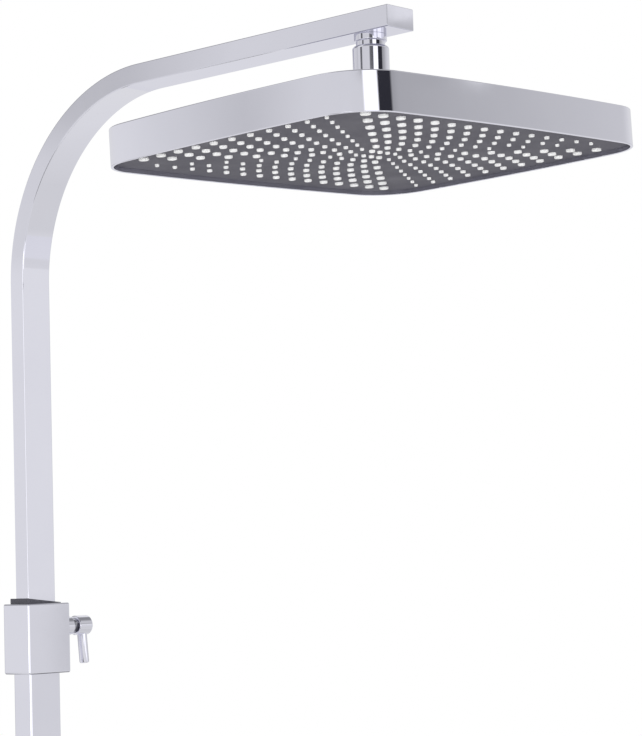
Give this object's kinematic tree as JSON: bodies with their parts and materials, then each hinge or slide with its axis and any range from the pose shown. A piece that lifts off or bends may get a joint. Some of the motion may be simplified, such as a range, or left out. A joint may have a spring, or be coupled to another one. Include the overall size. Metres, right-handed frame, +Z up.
{
  "type": "shower system",
  "caption": "Wall-held shower riser: a flat tube slides in a lower tube under a clamp knob, bends into an arm and carries a swivelling rectangular rain head on a ball joint.",
  "frame": {"origin": "middle of the wall foot's back face, in the plane of the wall", "axes": "+Z up along the riser, -Y out of the wall along the arm, +X to the right seen from in front"},
  "size_m": [0.3076, 0.5502, 0.77],
  "materials": {
    "chrome": "polished",
    "brass": "machined",
    "steel": "plain",
    "black_rubber": "matt",
    "black_plastic": "matt",
    "white_plastic": "matt",
    "face_grey": "satin",
    "white_silicone": "satin"
  },
  "bodies": {
    "wall_column": {"wall_foot": "chrome", "wall_post": "chrome", "bracket_collar": "chrome", "bracket_grub": "steel", "lower_tube": "chrome", "clamp_block": "chrome", "top_bush": "black_plastic", "clamp_sleeve": "chrome", "tube_plug": "chrome", "inlet_spigot": "brass", "inlet_strainer": "steel", "union_washer": "black_rubber"},
    "union": {"union_nut": "chrome"},
    "clamp_knob": {"knob": "chrome", "lever_pin": "chrome"},
    "clamp_spindle": {"clamp_spindle": "brass", "clamp_pad": "black_plastic"},
    "upper_column": {"arm_tube": "chrome", "arm_end_cap": "chrome", "outlet_spigot": "chrome", "spigot_o_ring": "black_rubber", "spigot_clip": "steel", "piston": "white_plastic", "piston_seal_upper": "black_rubber", "piston_seal_lower": "black_rubber"},
    "swivel": {"swivel_body": "chrome", "flow_regulator": "white_plastic", "ball_stem": "chrome"},
    "ball_liner": {"ball_liner": "white_plastic"},
    "head": {"socket_cup": "chrome", "socket_nut": "chrome", "ball_seal": "black_rubber", "hub_gasket": "black_rubber", "hub_nut": "white_plastic", "head_shell": "chrome", "backing_plate": "white_plastic", "plate_screws": "steel", "head_gasket": "black_rubber", "nozzle_mat": "white_silicone", "nozzle_plate": "face_grey"}
  },
  "joints": [
    {"name": "riser_height", "type": "slide", "parent": "wall_column", "child": "upper_column", "axis": [0, 0, 1], "range_m": [-0.15, 0.06]},
    {"name": "knob_turn", "type": "hinge", "parent": "wall_column", "child": "clamp_knob", "pos_m": [0.0451, -0.06, 0.1842], "axis": [1, 0, 0], "range_deg": [0, 90]},
    {"name": "spindle_slide", "type": "slide", "parent": "wall_column", "child": "clamp_spindle", "axis": [1, 0, 0], "range_m": [0, 0.0003]},
    {"name": "union_spin", "type": "hinge", "parent": "wall_column", "child": "union", "pos_m": [0, -0.06, -0.16], "axis": [0, 0, 1], "continuous": true},
    {"name": "head_swivel", "type": "hinge", "parent": "upper_column", "child": "swivel", "pos_m": [0, -0.4232, 0.57], "axis": [0, 0, 1], "continuous": true},
    {"name": "head_tilt_front", "type": "hinge", "parent": "swivel", "child": "ball_liner", "pos_m": [0, -0.4232, 0.5389], "axis": [1, 0, 0], "range_deg": [-8.8, 11.2]},
    {"name": "head_tilt_side", "type": "hinge", "parent": "ball_liner", "child": "head", "pos_m": [0, -0.4232, 0.5389], "axis": [0, 0.9998, -0.0209], "range_deg": [-8.4, 11.6]}
  ],
  "couplings": [
    {"joint": "knob_turn", "follows": "spindle_slide", "rad_per_m": 5236}
  ]
}
